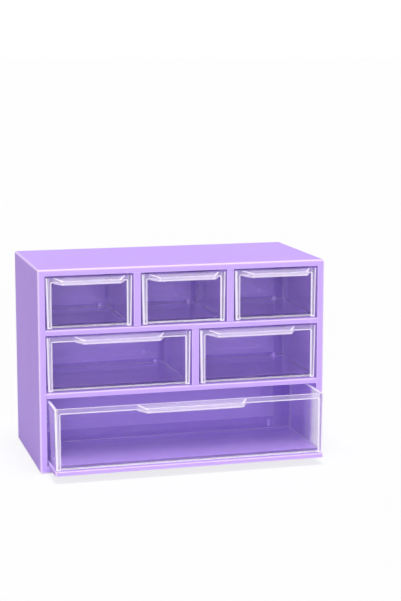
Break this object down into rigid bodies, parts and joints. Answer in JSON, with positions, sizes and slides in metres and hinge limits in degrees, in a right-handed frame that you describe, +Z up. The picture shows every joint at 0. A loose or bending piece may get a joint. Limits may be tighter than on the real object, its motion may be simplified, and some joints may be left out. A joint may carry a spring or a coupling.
{
  "type": "drawer organizer",
  "caption": "Small desktop organizer: a lilac plastic cabinet with clear sliding drawers in rows, each with a ledge pull.",
  "frame": {"origin": "centre of the cabinet's flat base", "axes": "+X to the right seen from the front, -Y out of the drawer fronts, +Z up"},
  "size_m": [0.185, 0.1256, 0.128],
  "materials": {
    "lilac_plastic": "moulded lilac polypropylene with a soft satin gloss",
    "lilac_back": "flat moulded lilac panel, slightly duller than the shell",
    "clear_styrene": "clear polished moulded polystyrene"
  },
  "bodies": {
    "cabinet": {"cabinet_shell": "lilac_plastic", "back_panel": "lilac_back", "shelf_upper": "lilac_plastic", "shelf_lower": "lilac_plastic", "divider_middle": "lilac_plastic", "divider_top_1": "lilac_plastic", "divider_top_2": "lilac_plastic"},
    "drawer_top_left": {"drawer_top_left_tray": "clear_styrene", "drawer_top_left_pull": "clear_styrene"},
    "drawer_top_middle": {"drawer_top_middle_tray": "clear_styrene", "drawer_top_middle_pull": "clear_styrene"},
    "drawer_top_right": {"drawer_top_right_tray": "clear_styrene", "drawer_top_right_pull": "clear_styrene"},
    "drawer_middle_left": {"drawer_middle_left_tray": "clear_styrene", "drawer_middle_left_pull": "clear_styrene"},
    "drawer_middle_right": {"drawer_middle_right_tray": "clear_styrene", "drawer_middle_right_pull": "clear_styrene"},
    "drawer_bottom": {"drawer_bottom_tray": "clear_styrene", "drawer_bottom_pull": "clear_styrene", "drawer_bottom_base": "lilac_plastic"}
  },
  "joints": [
    {"name": "drawer_top_left_slide", "type": "slide", "parent": "cabinet", "child": "drawer_top_left", "axis": [0, -1, 0], "range_m": [0, 0.0446]},
    {"name": "drawer_top_middle_slide", "type": "slide", "parent": "cabinet", "child": "drawer_top_middle", "axis": [0, -1, 0], "range_m": [0, 0.0446]},
    {"name": "drawer_top_right_slide", "type": "slide", "parent": "cabinet", "child": "drawer_top_right", "axis": [0, -1, 0], "range_m": [0, 0.0446]},
    {"name": "drawer_middle_left_slide", "type": "slide", "parent": "cabinet", "child": "drawer_middle_left", "axis": [0, -1, 0], "range_m": [0, 0.0446]},
    {"name": "drawer_middle_right_slide", "type": "slide", "parent": "cabinet", "child": "drawer_middle_right", "axis": [0, -1, 0], "range_m": [0, 0.0446]},
    {"name": "drawer_bottom_slide", "type": "slide", "parent": "cabinet", "child": "drawer_bottom", "axis": [0, -1, 0], "range_m": [-0.025, 0.0196]}
  ]
}
